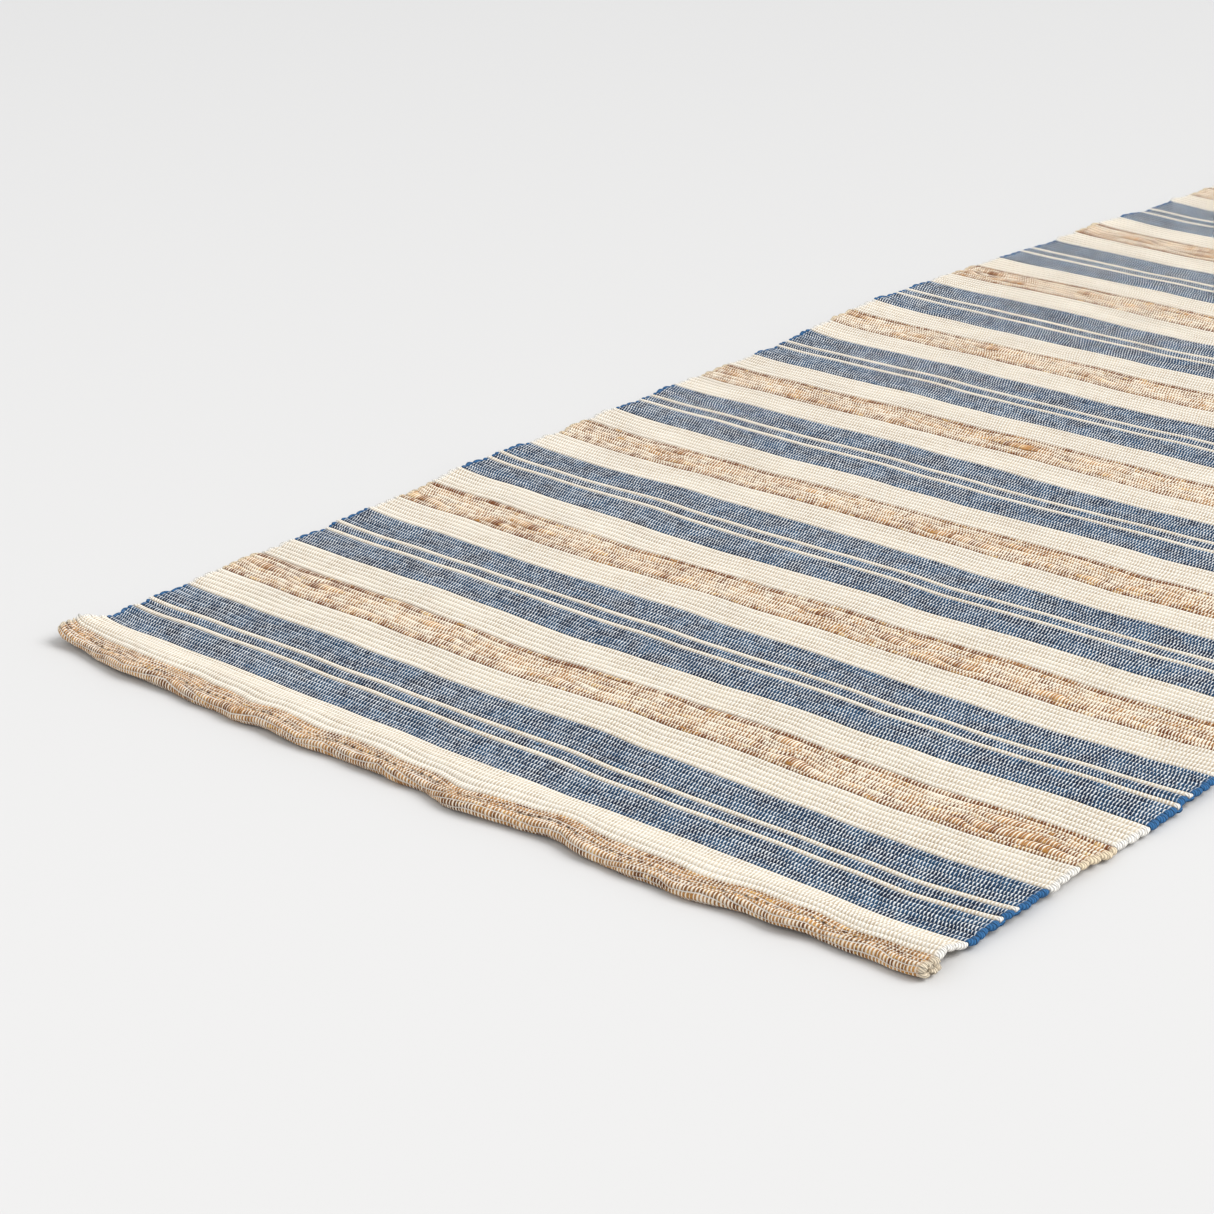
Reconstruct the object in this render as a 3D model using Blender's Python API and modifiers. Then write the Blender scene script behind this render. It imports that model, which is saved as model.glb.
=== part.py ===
"""Handwoven striped table runner, lying flat, with a turned and stitched hem at each end.

The cloth is built as a weaver makes it.  One sheet of warp runs the whole length in the middle of
the cloth.  The weft yarns wrap round it, band by band: one continuous cream yarn, a blue yarn for
each striped group, and a jute yarn for each tan stripe.  A yarn that crosses a band of another
colour is carried past it inside that band's selvedge.  Both ends are jute, folded under and sewn
through with a needle thread in the face and a bobbin thread below.

Metres, +Z up.  X runs across the cloth, Y along it, and the origin is under the middle of the
runner on the surface that it lies on.
"""
import math

import bmesh
import bpy

# Driving dimensions
WIDTH = 0.3520              # selvedge to selvedge
LENGTH = 1.8376             # folded edge to folded edge
CLOTH_THICKNESS = 0.0022    # one layer of the woven cloth
WARP_THICKNESS = 0.0005     # sheet of warp yarns in the middle of the cloth
BLUE_BAND = 0.0140          # wide blue band, two in each group
BLUE_CORE = 0.0046          # narrow blue band in the middle of each group
CREAM_LINE = 0.0024         # single cream line between two blue bands
CREAM_STRIPE = 0.01615      # cream between a blue group and a jute stripe
JUTE_STRIPE = 0.01795       # jute stripe
END_CREAM_MIN = 0.0120      # least cream between the last blue group and the hem
HEM_FACE = 0.0075           # jute that shows on the face, from the last cream pick to the folded edge
SEAM_INSET = 0.0038         # from the folded edge to the hem's seam
HEM_PAST_SEAM = 0.0040      # turned-under cloth beyond the seam
HEM_RISE = 0.0200           # length over which the face climbs onto the turned-under layer
CARRY_WIDTH = 0.0012        # carried yarn inside the selvedge
CARRY_THICKNESS = 0.0005
THREAD_DIAMETER = 0.0004    # hem sewing thread
THREAD_INSET = 0.0040       # from the selvedge to the end of a hem seam
THREAD_RECESS = 0.00015     # how far the thread lies below the surface of the cloth
CLEARANCE = 0.0003          # between neighbouring yarns and layers

# How finely the bent stretches are divided
RISE_STEPS = 6
FOLD_STEPS = 8

# Derived sizes
GROUP = 2 * BLUE_BAND + 2 * CREAM_LINE + BLUE_CORE
REPEAT = GROUP + 2 * CREAM_STRIPE + JUTE_STRIPE
SLOT_HEIGHT = max(WARP_THICKNESS, CARRY_THICKNESS) + 2 * CLEARANCE
YARN_WALL = (CLOTH_THICKNESS - SLOT_HEIGHT) / 2
CARRY_OUTER = WIDTH / 2 - YARN_WALL - CLEARANCE
CARRY_INNER = CARRY_OUTER - CARRY_WIDTH
WARP_HALF_WIDTH = CARRY_INNER - CLEARANCE
SEAM_GROOVE = THREAD_DIAMETER + 2 * CLEARANCE
HEM_START = LENGTH / 2 - HEM_FACE
SEAM_Y = LENGTH / 2 - SEAM_INSET
HEM_TURN = SEAM_INSET + SEAM_GROOVE / 2 + HEM_PAST_SEAM
LAYER_STEP = CLOTH_THICKNESS + CLEARANCE
FOLD_RADIUS = LAYER_STEP / 2
FOLD_START = LENGTH / 2 - FOLD_RADIUS - CLOTH_THICKNESS / 2
FOLD_END = FOLD_START + math.pi * FOLD_RADIUS
CLOTH_END = FOLD_END + FOLD_START - (LENGTH / 2 - HEM_TURN)
RISE_END = LENGTH / 2 - HEM_TURN - CLEARANCE
RISE_START = RISE_END - HEM_RISE
LOWER_SEAM = FOLD_END + FOLD_START - SEAM_Y
THREAD_HEIGHT = CLOTH_THICKNESS / 2 - THREAD_RECESS - THREAD_DIAMETER / 2
THREAD_HALF_LENGTH = WIDTH / 2 - THREAD_INSET
GROUP_COUNT = int((2 * HEM_START - 2 * END_CREAM_MIN - GROUP) / REPEAT) + 1

# Base colour, linear, and roughness of each yarn
YARNS = {
    "cream_cotton": ((0.80, 0.74, 0.62), 0.90),
    "blue_cotton": ((0.11, 0.19, 0.34), 0.90),
    "jute": ((0.50, 0.31, 0.15), 0.95),
    "warp_cotton": ((0.84, 0.79, 0.68), 0.85),
    "sewing_thread": ((0.42, 0.38, 0.32), 0.70),
}


def clear_scene():
    """Remove every object of the scene that the script starts in."""
    for item in list(bpy.data.objects):
        bpy.data.objects.remove(item, do_unlink=True)


def new_collection(name):
    collection = bpy.data.collections.new(name)
    bpy.context.scene.collection.children.link(collection)
    return collection


def yarn_material(name):
    """Principled material of one yarn."""
    material = bpy.data.materials.get(name)
    if material is None:
        colour, roughness = YARNS[name]
        material = bpy.data.materials.new(name)
        material.use_nodes = True
        shader = material.node_tree.nodes["Principled BSDF"]
        shader.inputs["Base Color"].default_value = (*colour, 1.0)
        shader.inputs["Roughness"].default_value = roughness
        shader.inputs["Metallic"].default_value = 0.0
    return material


def add_box(mesh, low, high):
    """Add a box between two corners to a bmesh, and return its faces."""
    made = bmesh.ops.create_cube(mesh, size=1.0)
    for vertex in made["verts"]:
        for axis in range(3):
            centre = (low[axis] + high[axis]) / 2
            vertex.co[axis] = centre + vertex.co[axis] * (high[axis] - low[axis])
    return {face for vertex in made["verts"] for face in vertex.link_faces}


def object_from_bmesh(name, mesh, collection):
    data = bpy.data.meshes.new(name)
    bmesh.ops.recalc_face_normals(mesh, faces=mesh.faces)
    mesh.to_mesh(data)
    mesh.free()
    made = bpy.data.objects.new(name, data)
    collection.objects.link(made)
    return made


def cutter_box(name, low, high):
    """Box that is used up by a Boolean, kept out of the model."""
    mesh = bmesh.new()
    add_box(mesh, low, high)
    cutter = object_from_bmesh(name, mesh, guides)
    cutter.hide_render = True
    cutter.display_type = "WIRE"
    return cutter


def add_boolean(target, other, operation):
    modifier = target.modifiers.new(operation.lower(), "BOOLEAN")
    modifier.operation = operation
    modifier.object = other


def apply_modifiers(item):
    """Replace an object's mesh by its evaluated one."""
    graph = bpy.context.evaluated_depsgraph_get()
    flat = bpy.data.meshes.new_from_object(item.evaluated_get(graph))
    item.modifiers.clear()
    item.data = flat


def sleeves(name, bands):
    """Flat sleeves that wrap round the warp, one for each band, open at both ends along Y."""
    mesh = bmesh.new()
    for start, end in bands:
        faces = add_box(
            mesh,
            (-WIDTH / 2, start + CLEARANCE / 2, -CLOTH_THICKNESS / 2),
            (WIDTH / 2, end - CLEARANCE / 2, CLOTH_THICKNESS / 2),
        )
        ends = [face for face in faces if abs(face.calc_center_median().z) < CLOTH_THICKNESS / 4
                and abs(face.calc_center_median().x) < WIDTH / 4]
        bmesh.ops.delete(mesh, geom=ends, context="FACES_ONLY")
    made = object_from_bmesh(name, mesh, runner)
    wall = made.modifiers.new("wall", "SOLIDIFY")
    wall.thickness = YARN_WALL
    wall.offset = -1.0
    wall.use_even_offset = True
    return made


def carried_yarn(name, bands, side):
    """Yarn that joins bands of one colour, carried along inside one selvedge.

    A comb outline, extruded: a straight back between the first and the last band, and a tooth in
    each band that reaches into the sleeve's side wall.
    """
    reach = WIDTH / 2 - YARN_WALL / 2
    back = [(CARRY_INNER, bands[0][0] + CLEARANCE), (CARRY_INNER, bands[-1][1] - CLEARANCE)]
    teeth = []
    for start, end in reversed(bands):
        first, last = start + CLEARANCE, end - CLEARANCE
        teeth += [(CARRY_OUTER, last), (reach, last), (reach, first), (CARRY_OUTER, first)]
    outline = back + teeth[1:-1]
    curve = bpy.data.curves.new(name, "CURVE")
    curve.dimensions = "2D"
    curve.fill_mode = "BOTH"
    curve.extrude = CARRY_THICKNESS / 2
    spline = curve.splines.new("POLY")
    spline.points.add(len(outline) - 1)
    for point, (x, y) in zip(spline.points, outline):
        point.co = (side * x, y, 0.0, 1.0)
    spline.use_cyclic_u = True
    shape = bpy.data.objects.new(name, curve)
    guides.objects.link(shape)
    mesh = bmesh.new()
    graph = bpy.context.evaluated_depsgraph_get()
    data = bpy.data.meshes.new_from_object(shape.evaluated_get(graph))
    mesh.from_mesh(data)
    bmesh.ops.remove_doubles(mesh, verts=mesh.verts, dist=1e-6)
    bpy.data.objects.remove(shape, do_unlink=True)
    solid = object_from_bmesh(name, mesh, guides)
    solid.hide_render = True
    solid.display_type = "WIRE"
    return solid


def rise(distance):
    """Height and slope of the face above the table at a distance from the middle, as a cosine ramp."""
    share = min(max((distance - RISE_START) / HEM_RISE, 0.0), 1.0)
    height = LAYER_STEP * (1 - math.cos(math.pi * share)) / 2
    slope = LAYER_STEP * math.pi * math.sin(math.pi * share) / (2 * HEM_RISE)
    return height, slope


def laid(x, along, above):
    """Place of a point of the flat cloth once the runner lies on the table with its ends folded under.

    along is the distance along the flat cloth from its middle, above is the height over the middle
    of the cloth.  The cloth lies flat, climbs onto the turned-under layer, turns half a circle round
    the fold and runs back under itself.
    """
    side = -1.0 if along < 0 else 1.0
    distance = abs(along)
    if distance <= FOLD_START:
        height, slope = rise(distance)
        tilt = math.hypot(1.0, slope)
        y = distance - above * slope / tilt
        z = CLOTH_THICKNESS / 2 + height + above / tilt
    elif distance <= FOLD_END:
        turn = (distance - FOLD_START) / FOLD_RADIUS
        y = FOLD_START + (FOLD_RADIUS + above) * math.sin(turn)
        z = CLOTH_THICKNESS / 2 + FOLD_RADIUS + (FOLD_RADIUS + above) * math.cos(turn)
    else:
        y = FOLD_START - (distance - FOLD_END)
        z = CLOTH_THICKNESS / 2 - above
    return x, side * y, z


def lay_on_table(item):
    """Cut an object across the cloth where it bends, then move its points to where the cloth lies."""
    ramp = [RISE_START + HEM_RISE * step / RISE_STEPS for step in range(RISE_STEPS + 1)]
    turn = [FOLD_START + (FOLD_END - FOLD_START) * step / FOLD_STEPS for step in range(FOLD_STEPS + 1)]
    mesh = bmesh.new()
    mesh.from_mesh(item.data)
    bmesh.ops.triangulate(mesh, faces=[face for face in mesh.faces if len(face.verts) > 4])
    low = min(vertex.co.y for vertex in mesh.verts)
    high = max(vertex.co.y for vertex in mesh.verts)
    for along in [side * cut for cut in ramp + turn for side in (-1, 1)]:
        if low < along < high:
            bmesh.ops.bisect_plane(
                mesh, geom=mesh.verts[:] + mesh.edges[:] + mesh.faces[:],
                dist=1e-7, plane_co=(0, along, 0), plane_no=(0, 1, 0),
            )
    for vertex in mesh.verts:
        vertex.co = laid(*vertex.co)
    mesh.to_mesh(item.data)
    mesh.free()


def finish(item, yarn):
    apply_modifiers(item)
    lay_on_table(item)
    item.data.materials.clear()
    item.data.materials.append(yarn_material(yarn))
    item.parent = pattern


def weft(name, yarn, bands, carry_side=0):
    """One weft yarn: its bands, joined by the carried yarn along one selvedge when it has several."""
    made = sleeves(name, bands)
    if carry_side:
        add_boolean(made, carried_yarn(name + "_carried", bands, carry_side), "UNION")
    return made


def warp():
    """Sheet of warp yarns, from the cut end under one hem to the cut end under the other."""
    mesh = bmesh.new()
    add_box(
        mesh,
        (-WARP_HALF_WIDTH, -CLOTH_END, -WARP_THICKNESS / 2),
        (WARP_HALF_WIDTH, CLOTH_END, WARP_THICKNESS / 2),
    )
    finish(object_from_bmesh("warp", mesh, runner), "warp_cotton")


def group_start(index):
    """Where a blue group starts along the cloth; the groups are centred on the middle."""
    return (index - (GROUP_COUNT - 1) / 2) * REPEAT - GROUP / 2


def blue_weft():
    """A blue yarn for each group: wide band, narrow core and wide band, carried at the right."""
    for index in range(GROUP_COUNT):
        start = group_start(index)
        core = start + BLUE_BAND + CREAM_LINE
        last = core + BLUE_CORE + CREAM_LINE
        bands = [(start, start + BLUE_BAND), (core, core + BLUE_CORE), (last, last + BLUE_BAND)]
        finish(weft(f"blue_weft_{index + 1:02d}", "blue_cotton", bands, carry_side=1), "blue_cotton")


def jute_weft():
    """A jute yarn for each stripe between two blue groups."""
    for index in range(GROUP_COUNT - 1):
        start = group_start(index) + GROUP + CREAM_STRIPE
        bands = [(start, start + JUTE_STRIPE)]
        finish(weft(f"jute_weft_{index + 1:02d}", "jute", bands), "jute")


def cream_bands():
    """Every cream band along the cloth, from one hem to the other."""
    bands = [(-HEM_START, group_start(0))]
    for index in range(GROUP_COUNT):
        start = group_start(index)
        first_line = start + BLUE_BAND
        last_line = first_line + CREAM_LINE + BLUE_CORE
        bands += [(first_line, first_line + CREAM_LINE), (last_line, last_line + CREAM_LINE)]
        if index < GROUP_COUNT - 1:
            after = start + GROUP
            next_group = start + REPEAT
            bands += [(after, after + CREAM_STRIPE), (next_group - CREAM_STRIPE, next_group)]
    bands.append((group_start(GROUP_COUNT - 1) + GROUP, HEM_START))
    return bands


def cream_weft():
    """The one cream yarn, carried at the left."""
    finish(weft("cream_weft", "cream_cotton", cream_bands(), carry_side=-1), "cream_cotton")


def hem(place, side):
    """Jute band folded under at one end, with a groove for the seam in each of its two layers."""
    band = (HEM_START, CLOTH_END + CLEARANCE / 2) if side > 0 else (-CLOTH_END - CLEARANCE / 2, -HEM_START)
    made = weft(f"hem_jute_{place}", "jute", [band])
    for layer, along in (("face", SEAM_Y), ("under", LOWER_SEAM)):
        centre = side * along
        groove = cutter_box(
            f"{layer}_groove_{place}",
            (-THREAD_HALF_LENGTH - CLEARANCE, centre - SEAM_GROOVE / 2, SLOT_HEIGHT / 4),
            (THREAD_HALF_LENGTH + CLEARANCE, centre + SEAM_GROOVE / 2, CLOTH_THICKNESS),
        )
        add_boolean(made, groove, "DIFFERENCE")
    finish(made, "jute")


def seam_thread(name, along):
    """Straight run of sewing thread across the cloth, lying in its groove."""
    curve = bpy.data.curves.new(name, "CURVE")
    curve.dimensions = "3D"
    curve.bevel_depth = THREAD_DIAMETER / 2
    curve.bevel_resolution = 2
    curve.use_fill_caps = True
    spline = curve.splines.new("POLY")
    spline.points.add(1)
    for point, x in zip(spline.points, (-THREAD_HALF_LENGTH, THREAD_HALF_LENGTH)):
        point.co = (*laid(x, along, THREAD_HEIGHT), 1.0)
    item = bpy.data.objects.new(name, curve)
    runner.objects.link(item)
    item.data.materials.append(yarn_material("sewing_thread"))
    item.parent = pattern


clear_scene()
runner = new_collection("table_runner")
guides = new_collection("guides")
pattern = bpy.data.objects.new("runner_origin", None)
runner.objects.link(pattern)

warp()
cream_weft()
blue_weft()
jute_weft()
for place_name, end_side in (("front", -1), ("back", 1)):
    hem(place_name, end_side)
    seam_thread(f"needle_thread_{place_name}", end_side * SEAM_Y)
    seam_thread(f"bobbin_thread_{place_name}", end_side * LOWER_SEAM)
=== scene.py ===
"""Looks of the handwoven table runner: ribbed weft bands, warp floats, selvedge loops and sewn hems.

Every surface is worked out in cloth coordinates, which are x across the cloth, s along it from its
middle and n above the middle of its thickness.  One function, laid, then says where a point of the
cloth lies on the table, so every piece bends, puckers and wanders together.
"""
import math

import bpy
import numpy as np
from mathutils import Matrix, Vector


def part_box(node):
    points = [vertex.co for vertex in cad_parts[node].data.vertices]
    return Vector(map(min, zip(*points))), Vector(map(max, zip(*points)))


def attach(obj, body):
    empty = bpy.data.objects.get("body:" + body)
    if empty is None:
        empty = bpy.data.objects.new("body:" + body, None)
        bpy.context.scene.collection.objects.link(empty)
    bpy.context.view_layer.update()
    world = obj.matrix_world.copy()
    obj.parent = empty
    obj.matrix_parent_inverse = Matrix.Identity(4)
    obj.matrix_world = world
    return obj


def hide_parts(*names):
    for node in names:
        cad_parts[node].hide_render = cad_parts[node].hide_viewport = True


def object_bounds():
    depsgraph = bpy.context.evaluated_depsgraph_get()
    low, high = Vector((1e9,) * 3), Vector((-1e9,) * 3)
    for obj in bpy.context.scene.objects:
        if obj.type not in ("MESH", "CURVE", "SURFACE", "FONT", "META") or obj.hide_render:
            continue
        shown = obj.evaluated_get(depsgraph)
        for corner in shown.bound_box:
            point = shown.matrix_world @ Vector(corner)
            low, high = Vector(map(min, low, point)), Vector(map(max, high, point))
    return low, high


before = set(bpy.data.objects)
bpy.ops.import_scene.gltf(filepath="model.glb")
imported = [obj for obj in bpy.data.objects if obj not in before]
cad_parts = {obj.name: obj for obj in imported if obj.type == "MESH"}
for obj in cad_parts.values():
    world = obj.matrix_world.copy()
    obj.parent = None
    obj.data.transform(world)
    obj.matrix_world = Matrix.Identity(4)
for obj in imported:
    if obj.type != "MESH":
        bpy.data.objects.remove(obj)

cad_low, cad_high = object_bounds()

# Sizes from the frame, in metres
WIDTH = cad_high[0] - cad_low[0]
LENGTH = cad_high[1] - cad_low[1]
HEM_HEIGHT = cad_high[2] - cad_low[2]
NODES = sorted(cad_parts)
BLUE_NODES = [name for name in NODES if name.startswith("blue_weft")]
JUTE_NODES = [name for name in NODES if name.startswith("jute_weft")]
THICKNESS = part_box("jute_weft_10")[1][2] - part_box("jute_weft_10")[0][2]
TINY = 1e-6
YARN_GAP = 0.0003                               # between two bands of the CAD model
HEM_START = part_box("cream_weft")[1][1] + YARN_GAP / 2
FLAP_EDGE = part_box("hem_jute_back")[0][1]       # how far the turned-under layer reaches in
SEAM_Y = (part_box("needle_thread_back")[0][1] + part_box("needle_thread_back")[1][1]) / 2
FOLD_RADIUS = (HEM_HEIGHT - THICKNESS) / 2
FOLD_START = LENGTH / 2 - FOLD_RADIUS - THICKNESS / 2
FOLD_END = FOLD_START + math.pi * FOLD_RADIUS
CLOTH_END = FOLD_END + FOLD_START - FLAP_EDGE      # cut end of the cloth, measured along it
UNDER_SEAM = FOLD_END + FOLD_START - SEAM_Y     # the bobbin thread, measured along the cloth
RISE_END = FLAP_EDGE - YARN_GAP                 # where the face has climbed onto the turned-under layer
HEM_RISE = 0.020                                # and the length that it climbs over

# The weave
PICKS = {"cream": 6, "jute": 7, "blue": 6, "line": 1, "core": 2, "end": 6, "hem": 12}
RELIEF = 0.00072            # from the crest of a rib to the valley beside it
FLOAT_PITCH = 0.0012        # between two warp floats on a rib
FULL_PICK = 0.0024          # a pick at least this wide has the full relief
LOOP_REACH = 0.0013         # how far a selvedge loop stands out
LEAST_REACH = 0.0002        # and how far between two loops
END_INSET = 0.00006         # keeps the flat ends of two bands apart
LOOP_ANGLES = np.radians([40, 90, 140])         # points of the turn round a selvedge
STITCH = 0.0036             # hem stitch length
SEAM_INSET = 0.004          # from a selvedge to the first stitch
RIB_STEPS = (0.0, 0.10, 0.28, 0.50, 0.72, 0.90)     # rows of points across one pick
COLUMNS = 72                # points across the cloth
rng = np.random.default_rng(14)


def waves(count, longest, shortest, turn=0.0):
    """Smooth noise as a sum of sines: rows of wave number, phase, phase step per pick, and weight."""
    length = np.geomspace(longest, shortest, count)
    return np.stack([
        2 * math.pi / length,
        rng.uniform(0, 2 * math.pi, count),
        rng.uniform(-turn, turn, count),
        (length / longest) ** 0.7 / math.sqrt(count),
    ])


def noise(table, x, row=0.0):
    """Value between about -1 and 1 of a table from waves, at x and at a pick number."""
    x, row = np.broadcast_arrays(np.asarray(x, float), np.asarray(row, float))
    number, phase, step, weight = (part.reshape((-1,) + (1,) * x.ndim) for part in table)
    return (weight * np.sin(number * x + phase + step * row)).sum(0) * 1.4


def ease(value):
    """Smooth step from 0 to 1 as value goes from 0 to 1."""
    value = np.clip(value, 0.0, 1.0)
    return value * value * (3 - 2 * value)


# How the cloth lies.  A table of waves for each end, near -1 and far 1, or each side, left -1 and right 1
PUCKER_HEIGHT = {-1: waves(7, 0.085, 0.018), 1: waves(7, 0.085, 0.018)}
PUCKER_REACH = {-1: waves(7, 0.085, 0.018), 1: waves(7, 0.085, 0.018)}
RIPPLE_ACROSS = waves(4, 0.30, 0.09)
RIPPLE_ALONG = waves(6, 0.40, 0.08)
SELVEDGE = {-1: waves(8, 0.30, 0.018), 1: waves(8, 0.30, 0.018)}
FRAY = {-1: waves(9, 0.022, 0.007), 1: waves(9, 0.022, 0.007)}
CURL = {-1: waves(6, 0.22, 0.030), 1: waves(6, 0.22, 0.030)}
BOW = waves(7, 0.22, 0.028, turn=0.16)
HEM_BOW = waves(6, 0.060, 0.014, turn=0.9)
FOLD_INSIDE = 0.94              # how near the middle of the fold the inner yarn comes, as a share
PUCKER_LIFT = 0.0007            # how high the hem's puckers stand
PUCKER_LEVEL = 0.10             # raises the pucker waves, so that more of the hem lifts
PUCKER_PULL = 0.0013            # how far the puckers move the fold in and out
PUCKER_BLEND = 0.020            # length of cloth over which the puckers grow
SWELL = 0.0009                  # height of the cream stripe's swell beside the hem
SWELL_BACK, SWELL_SPREAD = 0.0060, 0.0050
DIP_ON_FACE, DIP_BELOW = 0.00045, 0.00015       # how deep the seam draws the cloth in
DIP_SPREAD = 0.0011
STRETCH = 0.0050                # how far the fold is drawn out
STRETCH_LESS = 0.0036           # how far it is held back all along
STRETCH_BLEND = 0.024
STRETCH_CORNER = 0.090          # width at the right corner that isn't drawn out
RIPPLE_HEIGHT = 0.0004
FLARE_WIDTH = 0.014             # how far in from the left selvedge the near corner flares
FLARE_OUT, FLARE_LIFT, FLARE_PULL = 0.0005, 0.0018, 0.0070
FLARE_PRESS = 0.30              # how much flatter the corner is, as a share
FLARE_FROM, FLARE_BLEND = 0.016, 0.010
WAIST_IN = 0.0030               # how far the selvedge is drawn in beside the flared corner
WAIST_FROM, WAIST_SPREAD = 0.024, 0.009
WANDER = {-1: 0.0014, 1: 0.0010}                # how far each selvedge wanders
FRAY_DEPTH = {-1: 0.00055, 1: 0.00033}          # and how far its loops stand in and out
CURL_LIFT, CURL_LEVEL = 0.0011, 0.25
SWAY = 0.022                    # how far the middle of the cloth lies to the right of its ends
SWAY_MIDDLE = 0.008             # moves the whole cloth left, to share the sway between both sides
SWAY_OUT, SWAY_OUT_BLEND = -0.47, 0.32          # where the sway begins along the cloth, and its length
SWAY_BACK, SWAY_BACK_BLEND = 0.05, 0.75         # and the same for the way back


def folded(d, n):
    """Distance from the middle, and height, of a straight cloth folded under at its end.

    The face lies flat, climbs a cosine ramp onto the turned-under layer, turns half a circle round
    the fold and runs back under itself.
    """
    share = np.clip((d - RISE_END + HEM_RISE) / HEM_RISE, 0.0, 1.0)
    step = HEM_HEIGHT - THICKNESS
    slope = step * math.pi * np.sin(math.pi * share) / (2 * HEM_RISE)
    tilt = np.hypot(1.0, slope)
    turn = (np.clip(d, FOLD_START, FOLD_END) - FOLD_START) / FOLD_RADIUS
    y = np.where(d <= FOLD_START, d - n * slope / tilt, FOLD_START + (FOLD_RADIUS + n) * np.sin(turn))
    y = np.where(d > FOLD_END, FOLD_START - (d - FOLD_END), y)
    z = np.where(
        d <= FOLD_START,
        THICKNESS / 2 + step * (1 - np.cos(math.pi * share)) / 2 + n / tilt,
        THICKNESS / 2 + FOLD_RADIUS + (FOLD_RADIUS + n) * np.cos(turn),
    )
    return y, z


def near_fold(d):
    return ease((d - FOLD_START + PUCKER_BLEND) / PUCKER_BLEND)


def hemmed(x, d, side, y, z):
    """Add the hem's puckers, the swell beside it, the dip along its seam and its drawn-out ends.

    Puckers are sums of sines.  The swell and the dip are bell curves about their own lines.
    """
    for end in (-1, 1):
        here = near_fold(d) * (side == end)
        height = np.clip(noise(PUCKER_HEIGHT[end], x) + PUCKER_LEVEL, 0.0, 2.0)
        z = z + here * height * PUCKER_LIFT
        y = y + here * noise(PUCKER_REACH[end], x) * PUCKER_PULL
    swell = np.exp(-((d - HEM_START + SWELL_BACK) / SWELL_SPREAD) ** 2)
    dip = np.exp(-((y - SEAM_Y) / DIP_SPREAD) ** 2) * (d > HEM_START)
    z = z + swell * SWELL - np.where(d < FOLD_START, DIP_ON_FACE, -DIP_BELOW) * dip
    drawn = ease((d - LENGTH / 2 + STRETCH_BLEND) / STRETCH_BLEND)
    held = ease((WIDTH / 2 - x) / STRETCH_CORNER)
    return y + drawn * (STRETCH * held - STRETCH_LESS), z


def laid(x, s, n):
    """Where points of the cloth lie on the table.

    The cloth is folded and hemmed.  Then smooth steps, bell curves and sums of sines move it: it
    ripples, the near left corner flares, the selvedges wander, fray and curl up, and the whole
    cloth sways a little to the right in its middle.  Nothing goes below the table.
    """
    x, s, n = np.broadcast_arrays(x, s, n)
    side, d = np.where(s < 0, -1.0, 1.0), np.abs(s)
    n = np.where(d > FOLD_START, np.maximum(n, -FOLD_INSIDE * FOLD_RADIUS), n)
    y, z = hemmed(x, d, side, *folded(d, n))
    ripple = np.clip(noise(RIPPLE_ACROSS, x) + noise(RIPPLE_ALONG, s), 0.0, 2.0)
    z = z + (1 - near_fold(d)) * ripple * RIPPLE_HEIGHT
    corner = np.exp((-x - WIDTH / 2) / FLARE_WIDTH) * (side < 0)
    flare = corner * ease((d - LENGTH / 2 + FLARE_FROM) / FLARE_BLEND)
    waist = corner * np.exp(-((d - LENGTH / 2 + WAIST_FROM) / WAIST_SPREAD) ** 2)
    z = z * (1 - FLARE_PRESS * np.clip(flare, 0, 1)) + flare * FLARE_LIFT
    y = y - flare * FLARE_PULL
    edge = np.clip(np.abs(x) / (WIDTH / 2), 0.0, 1.02) ** 3
    wander = np.where(
        x < 0,
        noise(FRAY[-1], s) * FRAY_DEPTH[-1] - noise(SELVEDGE[-1], s) * WANDER[-1],
        noise(FRAY[1], s) * FRAY_DEPTH[1] + noise(SELVEDGE[1], s) * WANDER[1],
    )
    curl = np.clip(np.where(x < 0, noise(CURL[-1], s), noise(CURL[1], s)) + CURL_LEVEL, 0.0, 2.0)
    z = z + curl * edge ** 8 * CURL_LIFT
    swayed = ease((s - SWAY_OUT) / SWAY_OUT_BLEND) - ease((s - SWAY_BACK) / SWAY_BACK_BLEND)
    across = x + edge * wander + flare * FLARE_OUT + waist * WAIST_IN + SWAY * swayed - SWAY_MIDDLE
    return np.stack([across, side * y, np.maximum(z, 0.0)], axis=-1)


def mesh_piece(name, points, quads, uvs, material, traits=()):
    """A mesh object from arrays: points, faces of four or three corners, and a weave UV per corner.

    traits are (name, value per point) pairs that become float attributes.
    """
    data = bpy.data.meshes.new(name)
    count = sum(len(face) for face in quads)
    corners = np.concatenate([face.reshape(-1) for face in quads])
    sizes = np.concatenate([np.full(len(face), face.shape[1]) for face in quads])
    data.vertices.add(len(points))
    data.vertices.foreach_set("co", np.asarray(points, np.float32).reshape(-1))
    data.loops.add(len(corners))
    data.loops.foreach_set("vertex_index", corners.astype(np.int32))
    data.polygons.add(count)
    starts = np.concatenate([[0], np.cumsum(sizes)[:-1]])
    data.polygons.foreach_set("loop_start", starts.astype(np.int32))
    data.polygons.foreach_set("use_smooth", np.ones(count, bool))
    layer = data.uv_layers.new(name="weave")
    layer.uv.foreach_set("vector", np.concatenate([uv.reshape(-1) for uv in uvs]).astype(np.float32))
    for trait, values in traits:
        attribute = data.attributes.new(trait, "FLOAT", "POINT")
        attribute.data.foreach_set("value", np.asarray(values, np.float32).reshape(-1))
    data.update(calc_edges=True)
    data.validate()
    data.materials.append(material)
    made = bpy.data.objects.new(name, data)
    bpy.context.scene.collection.objects.link(made)
    return made


# ---------------------------------------------------------------- the weave, pick by pick


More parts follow.
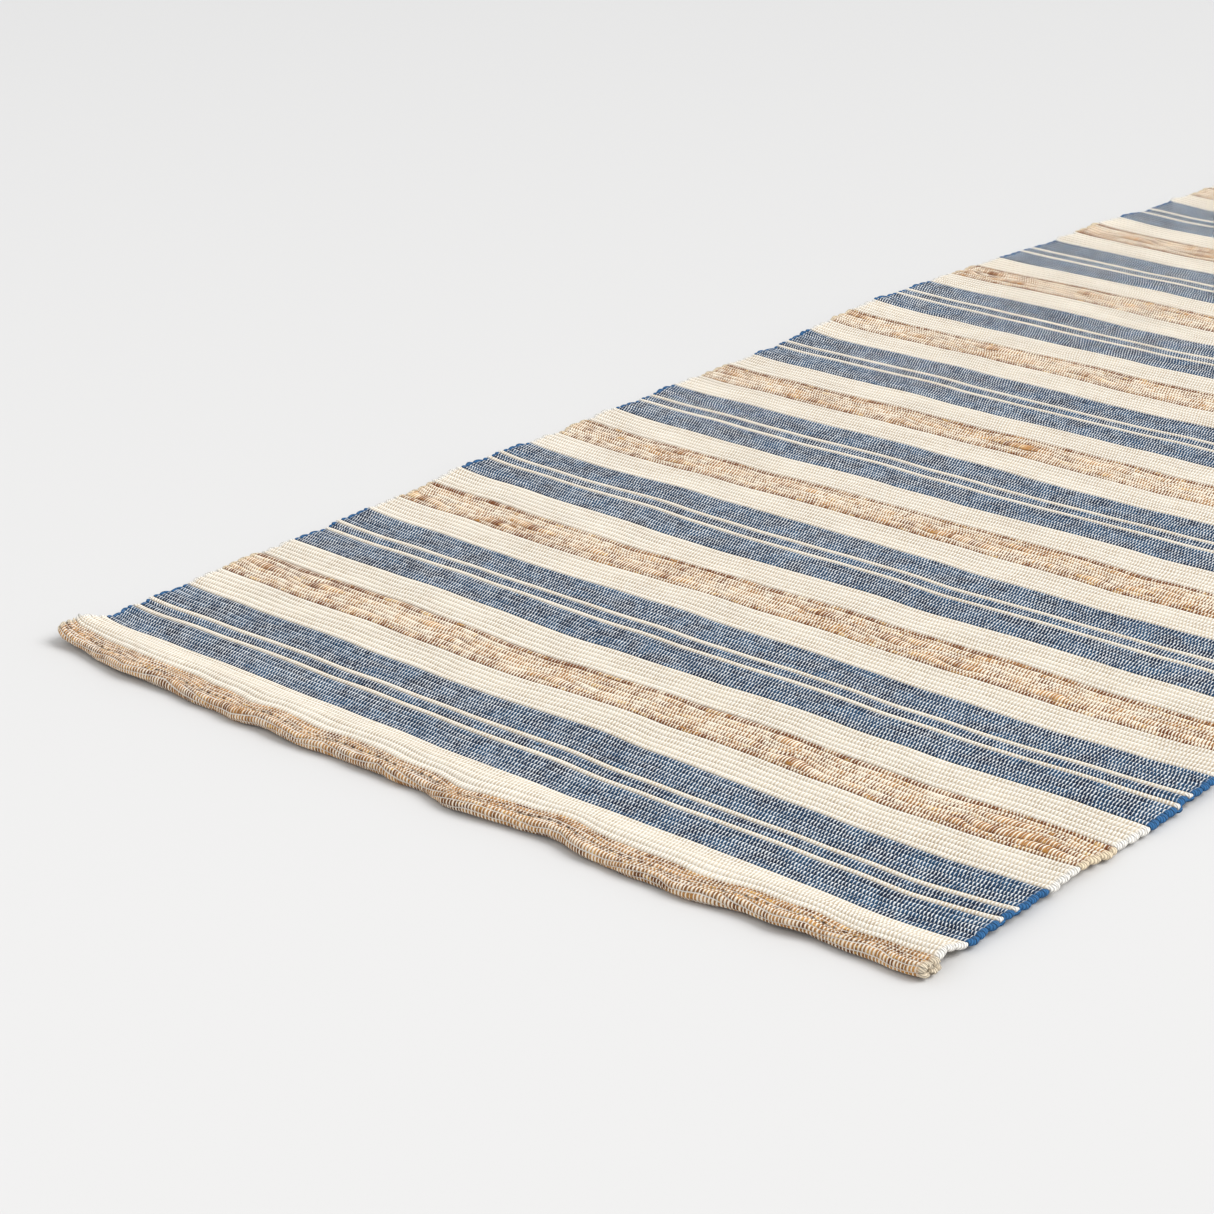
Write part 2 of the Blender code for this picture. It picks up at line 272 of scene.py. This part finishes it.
def weave_plan():
    """Every band along the cloth, as (piece key, yarn, start, end, picks), from one cut end to the other."""
    plan = []
    blues = [(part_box(node)[0][1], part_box(node)[1][1]) for node in BLUE_NODES]
    blues = [(low - YARN_GAP / 2, high + YARN_GAP / 2) for low, high in blues]
    half_face = (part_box("jute_weft_10")[1][1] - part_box("jute_weft_10")[0][1] + YARN_GAP) / 2
    plan.append(("hem_front", "hem", -CLOTH_END, -HEM_START, PICKS["hem"]))
    plan.append(("cream_01", "cream", -HEM_START, blues[0][0], PICKS["end"]))
    for index, (low, high) in enumerate(blues):
        key, cream = f"blue_{index + 1:02d}", f"cream_{index + 1:02d}"
        pick = (high - low) / (2 * PICKS["blue"] + 2 * PICKS["line"] + PICKS["core"])
        at = low
        for owner, yarn, kind in (
            (key, "blue", "blue"), (cream, "cream", "line"), (key, "blue", "core"),
            (cream, "cream", "line"), (key, "blue", "blue"),
        ):
            plan.append((owner, yarn, at, at + PICKS[kind] * pick, PICKS[kind]))
            at += PICKS[kind] * pick
        if index == len(blues) - 1:
            plan.append((cream, "cream", high, HEM_START, PICKS["end"]))
            continue
        middle = (high + blues[index + 1][0]) / 2
        plan.append((cream, "cream", high, middle - half_face, PICKS["cream"]))
        plan.append((f"jute_{index + 1:02d}", "jute", middle - half_face, middle + half_face, PICKS["jute"]))
        after = f"cream_{index + 2:02d}"
        plan.append((after, "cream", middle + half_face, blues[index + 1][0], PICKS["cream"]))
    plan.append(("hem_back", "hem", HEM_START, CLOTH_END, PICKS["hem"]))
    return plan


TRAITS = ("edge", "fat", "rim", "along")   # selvedge, slub, darker border pick, distance along the cloth
# For each yarn, the number of slubs in a band and the least and most that they swell
SLUBS = {"cream": (2, 0.10, 0.35), "blue": (2, 0.08, 0.3), "jute": (26, 0.35, 1.5), "hem": (16, 0.2, 0.8)}
# How much the picks of each yarn differ in width
UNEVEN = {"cream": 0.10, "blue": 0.12, "jute": 0.24, "hem": 0.22}
JUTE_RIMS = (0.75, 1.0)     # how dark the near and the far border pick of a jute stripe are
BOW_DEPTH = 0.0009          # how far the edge of a stripe bows
HEM_BOW_DEPTH = 0.0005      # and each pick inside a hem
SLUB_REACH = (0.0025, 0.010)
FINE_STEPS = np.array([0.0, 0.0007, 0.0016, 0.0030])    # first points in from a selvedge
FINE_END = 0.0045
X = np.concatenate([
    -WIDTH / 2 + FINE_STEPS,
    np.linspace(-WIDTH / 2 + FINE_END, WIDTH / 2 - FINE_END, COLUMNS),
    (WIDTH / 2 - FINE_STEPS)[::-1],
])
# Distances along the yarn as it turns round the right selvedge, where the underside begins after it,
# and the same for the turn round the left selvedge
TURN_STEPS, UNDER_FROM = np.array([0.0008, 0.0016, 0.0024]), 0.0030
LAST_TURN_STEPS = np.array([0.0012, 0.0020, 0.0028, 0.0036])
# How near to a selvedge each point is, from 0 inside the cloth to 1 on the selvedge
EDGE_BLEND = 1 - ease((WIDTH / 2 - np.abs(X)) / 0.0026)


def pick_edges(yarn, start, end, picks, first):
    """Where each pick of a band begins and ends at each x, and how fat it is there.

    The band's own edges bow gently, apart from the cut ends.  Between them each pick takes its
    share, and a slub takes more, so the picks beside it are pushed aside.
    """
    low = start + noise(BOW, X, first) * BOW_DEPTH
    high = end + noise(BOW, X, first + picks) * BOW_DEPTH
    if start < TINY - CLOTH_END:
        low = np.full_like(X, start)
    if end > CLOTH_END - TINY:
        high = np.full_like(X, end)
    row = np.arange(picks)[:, None]
    share = 1 + UNEVEN[yarn] * noise(waves(6, 0.07, 0.009, turn=3.0), X[None, :], row)
    fat = np.zeros((picks, len(X)))
    count, least, most = SLUBS[yarn]
    for _ in range(rng.poisson(count) if picks > 2 else 0):
        pick = rng.integers(1, picks - 1) if yarn in ("jute", "hem") else rng.integers(0, picks)
        place, reach = rng.uniform(-WIDTH / 2, WIDTH / 2), rng.uniform(*SLUB_REACH)
        fat[pick] += rng.uniform(least, most) * np.exp(-((X - place) / reach) ** 2)
    share = share + fat
    edges = np.concatenate([np.zeros((1, len(X))), np.cumsum(share, axis=0)])
    edges = low + (high - low) * edges / edges[-1]
    if yarn == "hem":
        inside = np.arange(1, picks)[:, None]
        edges[1:-1] += noise(HEM_BOW, X[None, :], inside) * HEM_BOW_DEPTH
    return edges, fat


def loop_shape(picks, shift, row_pick, v):
    """Reach from 0 to 1 of the selvedge loops at each row, and their size.

    Two picks share a loop, a lone pick at a band's edge has its own, and the reach is a half sine.
    """
    group = (np.arange(picks) + shift) // 2
    begins = np.searchsorted(group, group)
    length = np.bincount(group)[group]
    along = (row_pick - begins[row_pick] + v) / length[row_pick]
    size = rng.uniform(0.65, 1.25, group.max() + 1)[group] * np.where(length > 1, 1.0, 0.6)
    return np.sin(math.pi * np.clip(along, 0, 1)) ** 0.6, size[row_pick]


def band_surface(yarn, start, end, picks, first):
    """Closed ribbed surface of one band.

    Each row runs over the face from selvedge to selvedge, turns round the right selvedge, comes back
    below and turns round the left one.  Across a pick the height falls from the crest by the relief
    times |2v - 1| to the power 2.2, where v goes from 0 to 1 over the pick.  At a selvedge two picks
    share one loop, whose reach is a half sine over both.
    """
    edges, fat = pick_edges(yarn, start, end, picks, first)
    v = np.array(list(RIB_STEPS) * picks + [1.0])
    row_pick = np.array([i for i in range(picks) for _ in RIB_STEPS] + [picks - 1])
    inset = np.zeros(len(v))
    inset[0], inset[-1] = END_INSET, -END_INSET
    s = edges[row_pick] + v[:, None] * (edges[row_pick + 1] - edges[row_pick]) + inset[:, None]
    fall = RELIEF * min(1.0, (end - start) / picks / FULL_PICK) * np.abs(2 * v - 1) ** 2.2
    crown = THICKNESS / 2 * (1 + 0.22 * fat[row_pick]) - fall[:, None]
    loops = {side: loop_shape(picks, shift, row_pick, v) for side, shift in ((1, 0), (-1, 1))}
    arch_here = np.where(X[None, :] > 0, loops[1][0][:, None], loops[-1][0][:, None])
    loop_crown = THICKNESS / 2 * (0.40 + 0.50 * arch_here)
    top = crown * (1 - EDGE_BLEND) + loop_crown * EDGE_BLEND
    x_top = np.broadcast_to(X, s.shape)

    def turn_round(side, column):
        arch, size = loops[side]
        reach = LOOP_REACH * arch * size + LEAST_REACH
        x = side * (WIDTH / 2 + reach[:, None] * np.sin(LOOP_ANGLES))
        return x, np.repeat(s[:, [column]], 3, axis=1), top[:, [column]] * np.cos(LOOP_ANGLES)

    right, left = turn_round(1, -1), turn_round(-1, 0)
    x_all = np.concatenate([x_top, right[0], x_top[:, ::-1], left[0][:, ::-1]], axis=1)
    s_all = np.concatenate([s, right[1], s[:, ::-1], left[1][:, ::-1]], axis=1)
    n_all = np.concatenate([top, right[2], -top[:, ::-1], left[2][:, ::-1]], axis=1)
    rows, columns = x_all.shape
    points = laid(x_all, s_all, n_all).reshape(-1, 3)

    r, c = np.meshgrid(np.arange(rows - 1), np.arange(columns), indexing="ij")
    c_next = (c + 1) % columns
    walls = np.stack([r * columns + c, r * columns + c_next, (r + 1) * columns + c_next,
                      (r + 1) * columns + c], axis=-1).reshape(-1, 4)
    pick = first + row_pick + v
    around = np.concatenate([X, WIDTH / 2 + TURN_STEPS,
                             WIDTH / 2 + UNDER_FROM + FLOAT_PITCH / 2 + (WIDTH / 2 - X[::-1]),
                             1.5 * WIDTH + UNDER_FROM + LAST_TURN_STEPS])
    wall_uv = np.stack([
        np.stack([around[c], pick[r]], -1), np.stack([around[c + 1], pick[r]], -1),
        np.stack([around[c + 1], pick[r + 1]], -1), np.stack([around[c], pick[r + 1]], -1),
    ], axis=-2).reshape(-1, 2)

    width = len(X)
    j = np.arange(width - 1)
    back = 2 * width + 2 - j
    cap = np.stack([j, back, back - 1, j + 1], axis=-1)
    last = (rows - 1) * columns
    side_cap = np.array([[width - 1, width + 3, width + 2, width + 1, width]])
    other_cap = np.array([[0, columns - 1, columns - 2, columns - 3, 2 * width + 2]])
    caps = [cap, side_cap, other_cap]
    caps += [face[:, ::-1] + last for face in caps]
    faces = [walls] + caps
    flat_uv = np.stack([np.tile(around[:columns], rows), np.repeat(pick, columns)], -1)
    uvs = [wall_uv] + [flat_uv[face.reshape(-1)] for face in caps]
    at_edge = np.concatenate([EDGE_BLEND, np.ones(3), EDGE_BLEND[::-1], np.ones(3)])
    edge_trait = np.tile(at_edge, rows)
    fat_row = np.concatenate([fat, np.zeros((picks, 3)), fat[:, ::-1], np.zeros((picks, 3))], axis=1)
    rim = np.zeros(picks)
    if yarn == "jute":
        rim[0], rim[-1] = JUTE_RIMS
    rim_trait = np.repeat(rim[row_pick], columns)
    traits = np.stack([edge_trait, fat_row[row_pick].reshape(-1), rim_trait, s_all.reshape(-1)])
    return points, faces, uvs, traits


# Carried blue yarn: how far out it begins and how much further it bows, how far it runs onto the bands
# on each side, how far it sags, and its radius
CARRY_REACH = (0.0003, 0.0010)
CARRY_PAST, CARRY_SAG, CARRY_RADIUS = 0.0011, 0.0002, 0.00045
# Sewing thread: how far its middle lies below the ribs' crests, how deep it dips, how far the seam
# wanders, and its radius
THREAD_SUNK, STITCH_DIP, SEAM_WANDER, THREAD_RADIUS = 0.00022, 0.0008, 0.00012, 0.00021
# Warp sheet: points across, rows over each hem, half its thickness, and how far it passes the last pick
WARP_COLUMNS, WARP_ROWS, WARP_HALF, WARP_PAST_END = 33, 60, 0.00025, 0.0012


def join_surfaces(parts):
    """One set of arrays from several closed surfaces."""
    points, faces, uvs, traits, base = [], [], [], [], 0
    for part_points, part_faces, part_uvs, part_traits in parts:
        faces += [face + base for face in part_faces]
        points.append(part_points)
        uvs += part_uvs
        traits.append(part_traits)
        base += len(part_points)
    return np.concatenate(points), faces, uvs, np.concatenate(traits, axis=1)


def tube(line, radius, sides):
    """Round tube along a line of points: a ring about each point, square to the line, and flat ends."""
    line = np.asarray(line, float)
    along = np.gradient(line, axis=0)
    along /= np.linalg.norm(along, axis=1, keepdims=True)
    across = np.cross(along, [0.0, 0.0, 1.0])
    across /= np.linalg.norm(across, axis=1, keepdims=True)
    up = np.cross(across, along)
    angle = np.arange(sides) * 2 * math.pi / sides
    ring = across[:, None, :] * np.cos(angle)[None, :, None] + up[:, None, :] * np.sin(angle)[None, :, None]
    points = (line[:, None, :] + radius * ring).reshape(-1, 3)
    r, c = np.meshgrid(np.arange(len(line) - 1), np.arange(sides), indexing="ij")
    c_next = (c + 1) % sides
    walls = np.stack([r * sides + c, (r + 1) * sides + c, (r + 1) * sides + c_next, r * sides + c_next], -1)
    walls = walls.reshape(-1, 4)
    ends = [np.arange(sides)[None, :], ((len(line) - 1) * sides + np.arange(sides))[None, ::-1]]
    length = np.concatenate([[0], np.cumsum(np.linalg.norm(np.diff(line, axis=0), axis=1))])
    uv = np.stack([np.repeat(length, sides), np.tile(np.arange(sides) / sides, len(line))], -1)
    faces = [walls] + ends
    traits = np.zeros((len(TRAITS), len(points)))
    traits[0] = 1.0
    return points, faces, [uv[face.reshape(-1)] for face in faces], traits


def carried_strand(start, end):
    """Blue yarn carried round the right selvedge past a cream line, bowed out by a half sine."""
    t = np.linspace(0, 1, 8)
    reach = CARRY_REACH[0] + CARRY_REACH[1] * np.sin(math.pi * t)
    s = start - CARRY_PAST + t * (end - start + 2 * CARRY_PAST)
    return tube(laid(WIDTH / 2 + reach, s, -CARRY_SAG * np.sin(math.pi * t)), CARRY_RADIUS, sides=8)


def seam_line(along):
    """Sewing thread across a hem: over the cloth for each stitch, and down a hole between stitches.

    The dip is a cosine over the stitch, cut off below and stretched to run from 0 to 1.
    """
    steps = 8
    count = int((WIDTH - 2 * SEAM_INSET) / STITCH)
    t = np.arange(count * steps + 1) / steps
    x = -WIDTH / 2 + SEAM_INSET + t * STITCH
    dip = np.clip((np.cos(2 * math.pi * t) - 0.35) / 0.65, 0, 1) ** 0.7
    n = THICKNESS / 2 - THREAD_SUNK - dip * STITCH_DIP
    s = along + SEAM_WANDER * noise(waves(3, 0.03, 0.008), x)
    return tube(laid(x, s, n), THREAD_RADIUS, sides=6)


def warp_sheet():
    """Closed sheet of warp in the middle of the cloth, from cut end to cut end.

    Its rows are close together over each hem, where it bends, and wide apart between the hems.
    """
    half_width = (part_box("warp")[1][0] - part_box("warp")[0][0]) / 2
    x = np.linspace(-half_width, half_width, WARP_COLUMNS)
    ends = np.linspace(FLAP_EDGE - HEM_RISE - 0.002, CLOTH_END + WARP_PAST_END, WARP_ROWS)
    flat = np.linspace(0, ends[0], WARP_ROWS)[1:-1]
    s = np.concatenate([-ends[::-1], -flat[::-1], [0.0], flat, ends])
    x_loop = np.concatenate([x, x[::-1]])
    n_loop = np.repeat([WARP_HALF, -WARP_HALF], WARP_COLUMNS)
    points = laid(x_loop[None, :], s[:, None], n_loop[None, :]).reshape(-1, 3)
    rows, columns = len(s), len(x_loop)
    r, c = np.meshgrid(np.arange(rows - 1), np.arange(columns), indexing="ij")
    c_next = (c + 1) % columns
    walls = np.stack([r * columns + c, r * columns + c_next, (r + 1) * columns + c_next,
                      (r + 1) * columns + c], -1).reshape(-1, 4)
    j = np.arange(WARP_COLUMNS - 1)
    cap = np.stack([j, columns - 1 - j, columns - 2 - j, j + 1], -1)
    faces = [walls, cap, cap[:, ::-1] + (rows - 1) * columns]
    uv = np.stack([np.tile(x_loop, rows), np.repeat(s, columns) / 0.0025], -1)
    uvs = [uv[face.reshape(-1)] for face in faces]
    return points, faces, uvs


# ---------------------------------------------------------------- materials


class Socket:
    """A value in a material, so that an expression on it adds the Math nodes."""

    def __init__(self, paint, socket):
        self.paint, self.socket = paint, socket

    def math(self, operation, *others, swap=False):
        inputs = [self, *others]
        if swap:
            inputs.reverse()
        return self.paint.node("ShaderNodeMath", {"operation": operation}, *inputs)

    def __add__(self, other):
        return self.math("ADD", other)

    def __sub__(self, other):
        return self.math("SUBTRACT", other)

    def __mul__(self, other):
        return self.math("MULTIPLY", other)

    def __truediv__(self, other):
        return self.math("DIVIDE", other)

    def __pow__(self, other):
        return self.math("POWER", other)

    def __rsub__(self, other):
        return self.math("SUBTRACT", other, swap=True)

    __radd__ = __add__
    __rmul__ = __mul__

    def floor(self):
        return self.math("FLOOR")

    def fraction(self):
        return self.math("FRACT")

    def size(self):
        return self.math("ABSOLUTE")

    def held(self):
        """The value held between 0 and 1."""
        return self.paint.node("ShaderNodeClamp", {}, self)


class Paint:
    """A rough Principled material and its nodes."""

    def __init__(self, name, roughness):
        self.material = bpy.data.materials.new(name)
        self.material.use_nodes = True
        self.tree = self.material.node_tree
        self.shader = self.tree.nodes["Principled BSDF"]
        self.shader.inputs["Roughness"].default_value = roughness
        self.shader.inputs["Specular IOR Level"].default_value = 0.25

    def node(self, kind, settings, *values, output=0, **named):
        """Add a node: its settings first, then the values or links of its sockets, in order or by name."""
        made = self.tree.nodes.new(kind)
        for key, value in settings.items():
            setattr(made, key, value)
        sockets = [socket for socket in made.inputs if socket.enabled]
        pairs = list(zip(sockets, values)) + [(made.inputs[name], value) for name, value in named.items()]
        for socket, value in pairs:
            if isinstance(value, Socket):
                self.tree.links.new(value.socket, socket)
            else:
                socket.default_value = (*value, 1.0) if socket.type == "RGBA" else value
        return Socket(self, [socket for socket in made.outputs if socket.enabled][output])

    def trait(self, name):
        return self.node("ShaderNodeAttribute", {"attribute_name": name}, output=2)

    def weave(self):
        """Distance along the pick, in metres, and the pick's number."""
        uv = self.node("ShaderNodeUVMap", {"uv_map": "weave"})
        return self.parts(uv)

    def parts(self, vector):
        """The x and y of a vector."""
        return [self.node("ShaderNodeSeparateXYZ", {}, vector, output=part) for part in (0, 1)]

    def at(self, x, y, z=0.0):
        return self.node("ShaderNodeCombineXYZ", {}, x, y, z)

    def cloud(self, place, scale=1.0, detail=2.0):
        """Noise from 0 to 1 at a place."""
        return self.node("ShaderNodeTexNoise", {}, place, scale, detail)

    def chance(self, place):
        """A new value from 0 to 1 for each place."""
        return self.node("ShaderNodeTexWhiteNoise", {"noise_dimensions": "2D"}, place)

    def mix(self, share, first, second):
        return self.node("ShaderNodeMix", {"data_type": "RGBA"}, share, first, second)

    def shade(self, colour, share):
        """A colour times a value."""
        grey = self.node("ShaderNodeCombineXYZ", {}, share, share, share)
        return self.node("ShaderNodeVectorMath", {"operation": "MULTIPLY"}, colour, grey)

    def finish(self, colour, height=None):
        self.tree.links.new(colour.socket, self.shader.inputs["Base Color"])
        if height is not None:
            bump = self.node("ShaderNodeBump", {}, Strength=1.0, Distance=1.0, Height=height)
            self.tree.links.new(bump.socket, self.shader.inputs["Normal"])
        return self.material


def yarn_paint(name, deep, pale, fleck, thread, loop, patch=0.022, width=0.19, flecks=0.3, hollow=0.4,
               uneven=0.10, clumping=0.12, drifting=0.08, rims=0.09, turnover=0.33, knots=None, ridge=None):
    """Thick weft yarn with fine warp floats over it.

    On each pick a float stands every float pitch, shifted a little from pick to pick.  It is widest on
    the crest and thins towards the valley, where painted shade darkens it a little.  The yarn between is
    a mix of a deep and a pale tone in patches and in streaks along the yarn, with flecks, and painted
    shade darkens it down in the valley.  A border pick has deeper yarn and thinner floats.  At the
    selvedge only the twisted yarn shows.
    """
    paint = Paint(name, 0.92)
    x, pick_at = paint.weave()
    edge, fat, rim = paint.trait("edge"), paint.trait("fat"), paint.trait("rim")
    pick, v = pick_at.floor(), pick_at.fraction()
    crest = 1 - (v * 2 - 1).size() ** 2.0
    shift = paint.chance(paint.at(pick, 3.0)) * 0.30
    sway = paint.cloud(paint.at(x * 60.0, pick * 0.45), 1.0, 1.0) * 1.6
    column_at = x / FLOAT_PITCH + shift + sway
    column, across = column_at.floor(), (column_at.fraction() - 0.5).size()
    cell = paint.chance(paint.at(column, pick))
    clump = paint.cloud(paint.at(x * 230.0, pick * 3.7), 1.0, 2.0)
    drift = paint.cloud(paint.at(x * 14.0, pick * 0.35, 3.0), 1.0, 1.0)
    half = crest * 0.12 + width + (cell - 0.5) * uneven + (clump - 0.5) * clumping
    half = half + (drift - 0.5) * drifting - fat * 0.10 - rim * rims
    patchy = paint.cloud(paint.at(x / patch, pick * turnover), 1.0, 3.0)
    streak = paint.cloud(paint.at(x * 420.0, pick_at * 7.0), 1.0, 3.0)
    shade = ((patchy - 0.5) * 2.8 + (streak - 0.5) * 1.2 + (cell - 0.5) * 0.5 + 0.45 - rim * 0.5).held()
    yarn = paint.mix(shade, deep, pale)
    speck = paint.cloud(paint.at(x * 160.0, pick * 5.0 + v * 1.2), 1.0, 2.0)
    yarn = paint.mix(((speck - (1 - flecks)) * 12.0).held() * 0.8, yarn, fleck)
    if knots is not None:
        knot = paint.cloud(paint.at(x * 150.0, pick * 2.3 + v * 0.8, 7.0), 1.0, 2.0)
        knotty = ((knot - 0.64) * 12.0).held()
        yarn = paint.mix(knotty * 0.8, yarn, knots)
        half = half - knotty * 0.16
    twist = ((x * 520.0 + pick_at * 2.6).fraction() - 0.5).size() * 2.0
    strand = paint.mix((twist * 0.9 + streak * 0.9 - 0.25).held(), [c * 0.28 for c in loop], loop)
    yarn = paint.mix((edge * 1.8 - 0.7).held(), yarn, strand)
    mask = ((half - across) * 9.0 + 0.5).held() * (1 - (edge * 1.6 - 0.45).held())
    # painted shade: the floats are darkened a little towards the valley between ribs
    floats = paint.shade(paint.mix(cell, thread, [c * 0.90 for c in thread]), 0.82 + 0.18 * crest)
    # painted shade: the yarn is darkened towards the valley between ribs, down to the given share of its colour
    # at the valley's bottom
    valley_shade = (crest * 2.0).held() * (1 - hollow) + hollow
    colour = paint.mix(mask, paint.shade(yarn, valley_shade), floats)
    if ridge is not None:
        line = (((v - 0.5).size() * 2 - 0.80) * 9.0).held() * (1 - edge)
        colour = paint.mix(line * 0.75, colour, ridge)
    height = mask * (crest * 0.00012 + 0.00006) + (streak - 0.5) * 0.00008 + edge * twist * 0.00012
    return paint, x, colour, height


HOLE, HOLE_DEPTH, HOLE_SHADE_COLOUR = 0.0006, 0.0003, (0.030, 0.018, 0.010)      # stitch holes of the hem: their size, the depth of their bump, and the painted shade that darkens them


def hem_paint():
    """Hem yarn with a sunken hole at each stitch of the seams, darkened with painted shade."""
    paint, x, colour, height = yarn_paint(
        "hem_jute", (0.13, 0.045, 0.013), (0.58, 0.29, 0.092), (0.68, 0.39, 0.11), (0.92, 0.82, 0.68),
        (0.88, 0.76, 0.58), patch=0.010, width=0.115, flecks=0.40, hollow=0.26, uneven=0.16, clumping=0.30,
        drifting=0.16, turnover=1.3, ridge=(0.92, 0.86, 0.77))
    along = paint.trait("along").size()
    face, under = (along - SEAM_Y).size(), (along - UNDER_SEAM).size()
    off_line = face.math("MINIMUM", under)
    off_stitch = ((x - SEAM_INSET + WIDTH / 2) / STITCH + 0.5).fraction() - 0.5
    hole = (1.4 - off_line / HOLE - off_stitch.size() * STITCH / HOLE).held()
    # painted shade in each stitch hole
    colour = paint.mix(hole * 0.85, colour, HOLE_SHADE_COLOUR)
    return paint.finish(colour, height - hole * HOLE_DEPTH)


def weft_paint(*colours, **settings):
    """Finished paint of a weft yarn."""
    paint, _, colour, height = yarn_paint(*colours, **settings)
    return paint.finish(colour, height)


def plain_paint(name, colour, roughness, lines):
    """Fine yarn or thread: a colour with twist lines slanting along it."""
    paint = Paint(name, roughness)
    x, y = paint.weave()
    twist = ((x * lines + y * 2.0).fraction() - 0.5).size() * 2.0
    soft = paint.cloud(paint.at(x * 300.0, y * 2.0), 1.0, 2.0)
    tone = paint.mix((twist * 0.5 + soft * 0.5).held(), [c * 0.72 for c in colour], colour)
    return paint.finish(tone, twist * 0.00004)


PAINTS = {
    "blue": weft_paint("denim_blue_cotton", (0.004, 0.014, 0.042), (0.019, 0.076, 0.162), (0.08, 0.20, 0.35),
                       (0.85, 0.87, 0.88), (0.034, 0.145, 0.34), patch=0.012, width=0.060, flecks=0.29,
                       hollow=0.19, clumping=0.20, drifting=0.10),
    "cream": weft_paint("cream_cotton", (0.52, 0.42, 0.30), (0.755, 0.655, 0.51), (0.83, 0.76, 0.63),
                        (0.93, 0.885, 0.80), (0.92, 0.89, 0.83), patch=0.030, width=0.195, hollow=0.50),
    "jute": weft_paint("slubby_jute", (0.165, 0.052, 0.014), (0.56, 0.285, 0.098), (0.68, 0.43, 0.16),
                       (0.95, 0.86, 0.71), (0.84, 0.70, 0.50), patch=0.009, width=0.218, flecks=0.40, hollow=0.38,
                       uneven=0.18, clumping=0.38, drifting=0.24, rims=0.12, turnover=1.3,
                       knots=(0.46, 0.225, 0.060)),
    "hem": hem_paint(),
}
WARP_PAINT = plain_paint("ivory_warp", (0.84, 0.79, 0.68), 0.85, 1 / FLOAT_PITCH)
THREAD_PAINT = plain_paint("hem_thread", (0.50, 0.42, 0.32), 0.6, 900.0)


# ---------------------------------------------------------------- pieces


def ride(piece, slot, *nodes):
    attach(piece, "root")
    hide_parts(*nodes)
    return piece


def node_of(key):
    kind, number = key.split("_")
    return {"blue": f"blue_weft_{number}", "jute": f"jute_weft_{number}", "cream": "cream_weft",
            "hem": f"hem_jute_{number}"}[kind]


SLOTS = {"blue": "blue_cotton", "cream": "cream_cotton", "jute": "jute", "hem": "jute"}


def weft_pieces():
    """One piece for each yarn of the plan, with its bands in one mesh."""
    surfaces, yarns, first = {}, {}, 0
    for key, yarn, start, end, picks in weave_plan():
        surfaces.setdefault(key, []).append(band_surface(yarn, start, end, picks, first))
        yarns[key] = yarn
        if picks == PICKS["line"]:
            blue_key = key.replace("cream", "blue")
            surfaces.setdefault(blue_key, []).append(carried_strand(start, end))
        first += picks
    made = []
    for key, parts in surfaces.items():
        points, faces, uvs, traits = join_surfaces(parts)
        piece = mesh_piece(f"{key}_yarn", points, faces, uvs, PAINTS[yarns[key]], zip(TRAITS, traits))
        made.append(ride(piece, SLOTS[yarns[key]], node_of(key)))
    return made


def seam_pieces():
    """Needle thread on the face and bobbin thread below, at both hems."""
    made = []
    for place, side in (("front", -1), ("back", 1)):
        for kind, along in (("needle", SEAM_Y), ("bobbin", UNDER_SEAM)):
            points, faces, uvs, _ = seam_line(side * along)
            piece = mesh_piece(f"{kind}_stitches_{place}", points, faces, uvs, THREAD_PAINT)
            made.append(ride(piece, "sewing_thread", f"{kind}_thread_{place}"))
    return made


weft = weft_pieces()
seams = seam_pieces()
points, faces, uvs = warp_sheet()
warp = ride(mesh_piece("warp_cloth", points, faces, uvs, WARP_PAINT), "warp_cotton", "warp")
2 * CLOTH_END


# ---------------------------------------------------------------- floor, light and camera


def studio():
    """Pale floor with painted shade that darkens it towards the far left, soft dome of light and a large soft
    lamp high behind the right side.
    """
    paint = Paint("pale_floor", 0.9)
    place = paint.node("ShaderNodeTexCoord", {}, output=3)
    x, y = paint.parts(place)
    # painted shade: the floor darkens towards the far left, standing in for the light's fall-off
    far = ((y - x) * 0.45 + 0.45).held()
    paint.finish(paint.mix(far, (0.622, 0.619, 0.616), (0.535, 0.535, 0.535)))
    bpy.ops.mesh.primitive_plane_add(size=30.0, location=(0, 0, 0))
    floor = bpy.context.object
    floor.name = "floor"
    floor.data.materials.append(paint.material)
    world = bpy.data.worlds.new("soft_dome")
    world.use_nodes = True
    world.node_tree.nodes["Background"].inputs["Color"].default_value = (1.0, 1.0, 1.0, 1.0)
    world.node_tree.nodes["Background"].inputs["Strength"].default_value = 0.86
    bpy.context.scene.world = world
    lamp = bpy.data.lights.new("key", "SUN")
    lamp.energy = 2.45
    lamp.angle = math.radians(38)
    key = bpy.data.objects.new("key", lamp)
    azimuth, elevation = math.radians(56), math.radians(46)
    toward = Vector((math.sin(azimuth) * math.cos(elevation), math.cos(azimuth) * math.cos(elevation),
                     math.sin(elevation)))
    key.rotation_euler = toward.to_track_quat("Z", "Y").to_euler()
    bpy.context.scene.collection.objects.link(key)
    bpy.context.scene.view_settings.view_transform = "Standard"


def camera():
    """Camera low to the right of the near end, turned to look along the stripes."""
    lens = bpy.data.cameras.new("camera")
    lens.sensor_width = 36.0
    lens.lens = 88.3
    lens.clip_start, lens.clip_end = 0.05, 50.0
    made = bpy.data.objects.new("camera", lens)
    azimuth, elevation, roll = math.radians(41.63), math.radians(23.35), math.radians(-1.386)
    back = Vector((math.sin(azimuth) * math.cos(elevation), -math.cos(azimuth) * math.cos(elevation),
                   math.sin(elevation)))
    right = Vector((0, 0, 1)).cross(back).normalized()
    up = back.cross(right)
    x_axis = right * math.cos(roll) + up * math.sin(roll)
    y_axis = up * math.cos(roll) - right * math.sin(roll)
    made.matrix_world = Matrix((x_axis, y_axis, back)).transposed().to_4x4()
    made.location = (0.5544, -1.4707, 0.3991)
    bpy.context.scene.collection.objects.link(made)
    bpy.context.scene.camera = made


studio()
camera()
